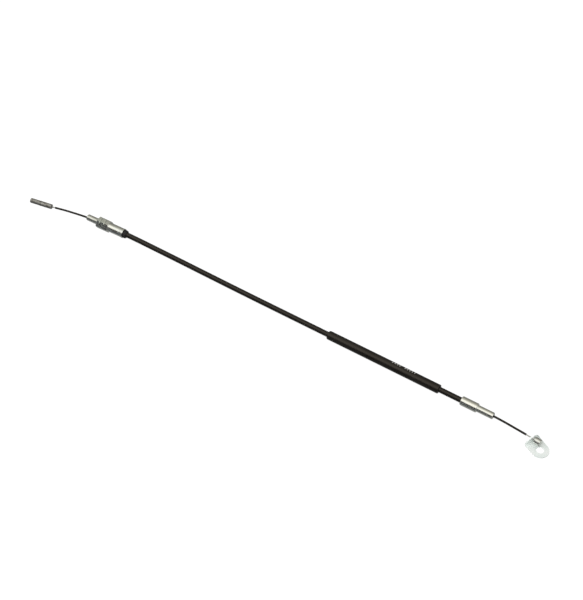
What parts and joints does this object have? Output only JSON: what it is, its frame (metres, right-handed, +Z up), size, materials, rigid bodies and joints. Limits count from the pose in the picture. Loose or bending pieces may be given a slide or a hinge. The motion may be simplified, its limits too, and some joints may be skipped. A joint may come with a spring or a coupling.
{
  "type": "brake switch cable",
  "caption": "Slim pull cable in a black conduit, with a threaded adjuster and two nuts at the front, a stepped ferrule and a slotted eyelet tab at the rear.",
  "frame": {"origin": "on the table under the middle of the whole cable's box", "axes": "+X along the straight conduit from the adjuster to the rear ferrule, +Y away from the viewer of the picture, +Z up"},
  "size_m": [0.5382, 0.02, 0.01],
  "materials": {
    "crimp_zinc": "dull zinc plate, dented by the crimp",
    "wire_steel": "bare stranded wire",
    "wire_coat_black": "smooth black coating",
    "nipple_zinc": "satin zinc",
    "plated_steel": "bright zinc plate",
    "plated_nuts": "bright zinc plate",
    "seal_rubber": "matt black rubber",
    "conduit_black": "satin black, with the coil faintly showing through",
    "coil_steel": "flat spring wire",
    "liner_plastic": "smooth white liner",
    "sleeve_black": "satin black soft tube",
    "tab_plate": "bright zinc plate"
  },
  "bodies": {
    "conduit": {"conduit_jacket": "conduit_black", "conduit_coil": "coil_steel", "conduit_liner": "liner_plastic", "protective_sleeve": "sleeve_black", "rear_ferrule": "plated_steel", "adjuster_body": "plated_steel", "conduit_seal": "seal_rubber"},
    "pull_wire": {"inner_wire": "wire_steel", "wire_coat": "wire_coat_black", "crimp_barrel": "crimp_zinc", "rear_nipple": "nipple_zinc"},
    "tab": {"eyelet_tab": "tab_plate"},
    "front_nut": {"outer_nut": "plated_nuts"},
    "back_nut": {"inner_nut": "plated_nuts"}
  },
  "joints": [
    {"name": "wire_pull", "type": "slide", "parent": "conduit", "child": "pull_wire", "axis": [-1, 0, 0], "range_m": [0, 0.01]},
    {"name": "tab_swivel", "type": "hinge", "parent": "pull_wire", "child": "tab", "pos_m": [0.25218, 0.00208, 0.0044], "axis": [0.9945, -0.1043, 0], "continuous": true},
    {"name": "outer_nut_turn", "type": "hinge", "parent": "conduit", "child": "front_nut", "pos_m": [-0.19493, 0.00384, 0.005], "axis": [0.9995, 0.0332, 0], "continuous": true},
    {"name": "inner_nut_turn", "type": "hinge", "parent": "conduit", "child": "back_nut", "pos_m": [-0.19083, 0.00398, 0.005], "axis": [0.9995, 0.0332, 0], "continuous": true}
  ]
}
